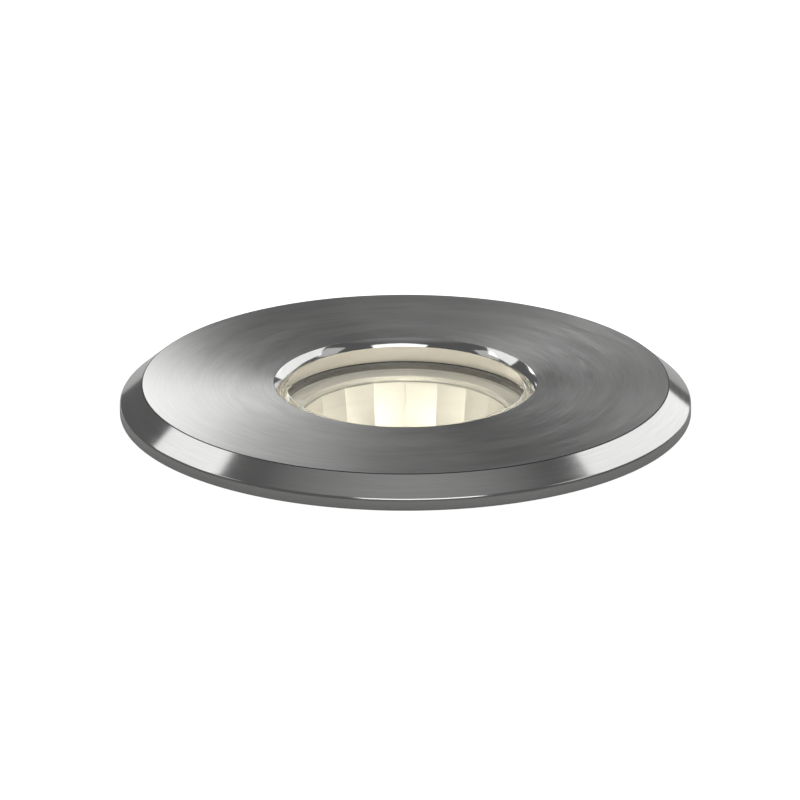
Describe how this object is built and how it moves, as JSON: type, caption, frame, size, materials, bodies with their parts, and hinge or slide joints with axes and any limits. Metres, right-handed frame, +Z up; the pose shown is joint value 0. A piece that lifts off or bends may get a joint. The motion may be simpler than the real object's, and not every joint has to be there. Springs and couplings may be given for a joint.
{
  "type": "in ground well light",
  "caption": "Round in-ground LED well light: bevelled steel trim ring with a thick glass, sealed can with reflector and driver, in a plastic ground sleeve.",
  "frame": {"origin": "on the light's axis at finished ground level, where the trim ring's seat meets the paving and the hole in the ground begins", "axes": "+Z up out of the ground along the light's axis; the sleeve's cable port faces +Y"},
  "size_m": [0.1, 0.1, 0.0735],
  "materials": {
    "brushed_stainless": "lathe-turned, satin",
    "spring_steel": "oil-tempered",
    "clear_glass": "clear toughened",
    "silicone": "translucent grey",
    "black_rubber": "matt moulded",
    "reflector_aluminium": "pressed, bright anodised",
    "led_phosphor": "phosphor resin",
    "white_board": "white solder mask",
    "holder_plastic": "moulded",
    "raw_aluminium": "turned",
    "plated_screw": "stainless",
    "lead_insulation": "silicone wire",
    "coated_casting": "fine texture powder coat",
    "green_board": "solder mask",
    "component_black": "epoxy and ferrite",
    "component_sleeve": "shrink sleeve",
    "terminal_plastic": "moulded",
    "nylon_black": "moulded nylon",
    "sleeve_plastic": "moulded polypropylene"
  },
  "bodies": {
    "ground_sleeve": {"ground_sleeve": "sleeve_plastic", "sleeve_grommet": "black_rubber", "sleeve_base": "sleeve_plastic", "base_screws": "plated_screw"},
    "light_insert": {"housing_can": "coated_casting", "retaining_rings": "black_rubber", "trim_seal": "black_rubber", "glass_cushion": "silicone", "reflector": "reflector_aluminium", "led_emitter": "led_phosphor", "led_board": "white_board", "led_holder": "holder_plastic", "led_holder_screws": "plated_screw", "heat_spreader": "raw_aluminium", "spreader_screws": "plated_screw", "led_leads": "lead_insulation", "driver_standoffs": "plated_screw", "driver_board": "green_board", "driver_screws": "plated_screw", "driver_inductor": "component_black", "driver_capacitors": "component_sleeve", "driver_chips": "component_black", "terminal_block": "terminal_plastic", "rear_cover": "coated_casting", "cover_seal": "black_rubber", "cover_screws": "plated_screw", "vent_plug": "nylon_black", "gland_body": "nylon_black", "gland_seal": "black_rubber", "gland_nut": "nylon_black", "gland_locknut": "nylon_black"},
    "glass": {"glass_lens": "clear_glass"},
    "trim": {"trim_ring": "brushed_stainless", "glass_seal": "silicone", "glass_snap_ring": "spring_steel"}
  },
  "joints": [
    {"name": "insert_slide", "type": "slide", "parent": "ground_sleeve", "child": "light_insert", "axis": [0, 0, 1], "range_m": [0, 0.0607]},
    {"name": "trim_lift", "type": "slide", "parent": "light_insert", "child": "glass", "axis": [0, 0, 1], "range_m": [0, 0.008]},
    {"name": "trim_turn", "type": "hinge", "parent": "glass", "child": "trim", "pos_m": [0, 0, 0], "axis": [0, 0, 1], "range_deg": [0, 720]}
  ],
  "couplings": [
    {"joint": "trim_lift", "follows": "trim_turn", "m_per_rad": 0.0006366}
  ]
}
